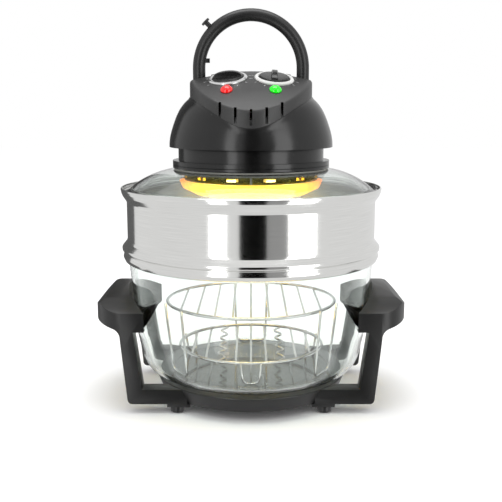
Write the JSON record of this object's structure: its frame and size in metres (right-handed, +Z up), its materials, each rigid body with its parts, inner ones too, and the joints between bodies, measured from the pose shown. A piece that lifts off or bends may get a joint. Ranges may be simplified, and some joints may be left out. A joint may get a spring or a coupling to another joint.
{
  "type": "air fryer",
  "caption": "Halogen convection air fryer: glass bowl in a two-handled stand, stainless extender ring, domed glass lid, fan heater head with two dials and a folding bail, wire racks.",
  "frame": {"origin": "on the surface it stands on, under the middle of the bowl", "axes": "+Z up, the control panel faces -Y, +X to the right seen from the front"},
  "size_m": [0.3854, 0.32, 0.4776],
  "materials": {
    "black_plastic": "satin moulded black nylon",
    "panel_plastic": "satin dark grey moulded control cover",
    "black_rubber": "soft matt rubber",
    "grey_silicone": "food-grade silicone",
    "clear_glass": "clear pressed borosilicate glass",
    "brushed_stainless": "brushed stainless sheet",
    "chrome_wire": "chromed steel wire",
    "bright_ring": "bright plated ring",
    "steel": "plain zinc-plated steel",
    "reflector": "polished heat-tinted stainless",
    "hot_guard": "pierced steel pan lit by the lamp",
    "lamp_quartz": "clear quartz, glowing",
    "ceramic": "white steatite",
    "aluminium": "stamped sheet",
    "copper": "enamelled copper winding",
    "red_lens": "translucent red lens, lit",
    "green_lens": "translucent green lens, lit",
    "white_plastic": "heat-resistant white plastic"
  },
  "bodies": {
    "stand": {"base_tray": "black_plastic", "bowl_rest_pads": "grey_silicone", "feet": "black_plastic", "foot_pads": "black_rubber", "stand_screws": "steel", "right_handle": "black_plastic", "left_handle": "black_plastic", "right_handle_liner": "black_plastic", "left_handle_liner": "black_plastic", "handle_liner_screws": "steel"},
    "bowl": {"glass_bowl": "clear_glass"},
    "low_rack": {"low_rack_grid": "chrome_wire", "low_rack_leg_1": "chrome_wire", "low_rack_leg_2": "chrome_wire", "low_rack_leg_3": "chrome_wire"},
    "high_rack": {"high_rack_grid": "chrome_wire", "high_rack_leg_1": "chrome_wire", "high_rack_leg_2": "chrome_wire", "high_rack_leg_3": "chrome_wire"},
    "extender": {"extender_ring": "brushed_stainless"},
    "head": {"lid_glass": "clear_glass", "lid_gasket": "grey_silicone", "collar_ring": "black_plastic", "clamp_ring": "steel", "clamp_screws": "steel", "neck_ring": "black_plastic", "lower_housing": "black_plastic", "top_cover": "panel_plastic", "housing_screws": "steel", "timer_dial_ring": "bright_ring", "temperature_dial_ring": "bright_ring", "timer_unit": "white_plastic", "thermostat_unit": "ceramic", "power_lamp": "red_lens", "heat_lamp": "green_lens", "bail_pins": "steel", "reflector_drum": "reflector", "heat_shield": "aluminium", "heater_guard": "hot_guard", "ring_lamp": "lamp_quartz", "lamp_end_blocks": "ceramic", "lamp_clips": "steel", "motor_core": "steel", "motor_coil": "copper", "motor_bracket": "steel", "motor_bearings": "steel", "thermostat_bulb": "steel", "thermal_cutout": "white_plastic", "terminal_block": "white_plastic", "cord_gland": "black_plastic", "safety_switch": "black_plastic"},
    "bail": {"bail_tube": "black_plastic", "bail_studs": "black_plastic"},
    "timer_knob": {"timer_knob": "black_plastic"},
    "temperature_knob": {"temperature_knob": "black_plastic"},
    "fan_rotor": {"hot_air_fan": "aluminium", "cooling_fan": "aluminium", "fan_shaft": "steel", "motor_rotor": "steel"},
    "switch_plunger": {"switch_plunger": "white_plastic"}
  },
  "joints": [
    {"name": "bowl_lift", "type": "slide", "parent": "stand", "child": "bowl", "axis": [0, 0, 1], "range_m": [0, 0.15]},
    {"name": "low_rack_lift", "type": "slide", "parent": "bowl", "child": "low_rack", "axis": [0, 0, 1], "range_m": [0, 0.05]},
    {"name": "high_rack_lift", "type": "slide", "parent": "bowl", "child": "high_rack", "axis": [0, 0, 1], "range_m": [0, 0.12]},
    {"name": "extender_lift", "type": "slide", "parent": "bowl", "child": "extender", "axis": [0, 0, 1], "range_m": [0, 0.12]},
    {"name": "lid_lift", "type": "slide", "parent": "extender", "child": "head", "axis": [0, 0, 1], "range_m": [0, 0.15]},
    {"name": "bail_fold", "type": "hinge", "parent": "head", "child": "bail", "pos_m": [0, 0.004, 0.386], "axis": [-1, 0, 0], "range_deg": [0, 90]},
    {"name": "timer_turn", "type": "hinge", "parent": "head", "child": "timer_knob", "pos_m": [-0.0275, -0.03, 0.39392], "axis": [0.088, 0.3115, -0.9462], "range_deg": [0, 300]},
    {"name": "temperature_turn", "type": "hinge", "parent": "head", "child": "temperature_knob", "pos_m": [0.0275, -0.03, 0.39392], "axis": [-0.088, 0.3115, -0.9462], "range_deg": [0, 270]},
    {"name": "fan_spin", "type": "hinge", "parent": "head", "child": "fan_rotor", "pos_m": [0, 0, 0.28], "axis": [0, 0, 1], "continuous": true},
    {"name": "plunger_press", "type": "slide", "parent": "head", "child": "switch_plunger", "axis": [0, 0, -1], "range_m": [0, 0.003], "stiffness_N_per_m": 200}
  ]
}
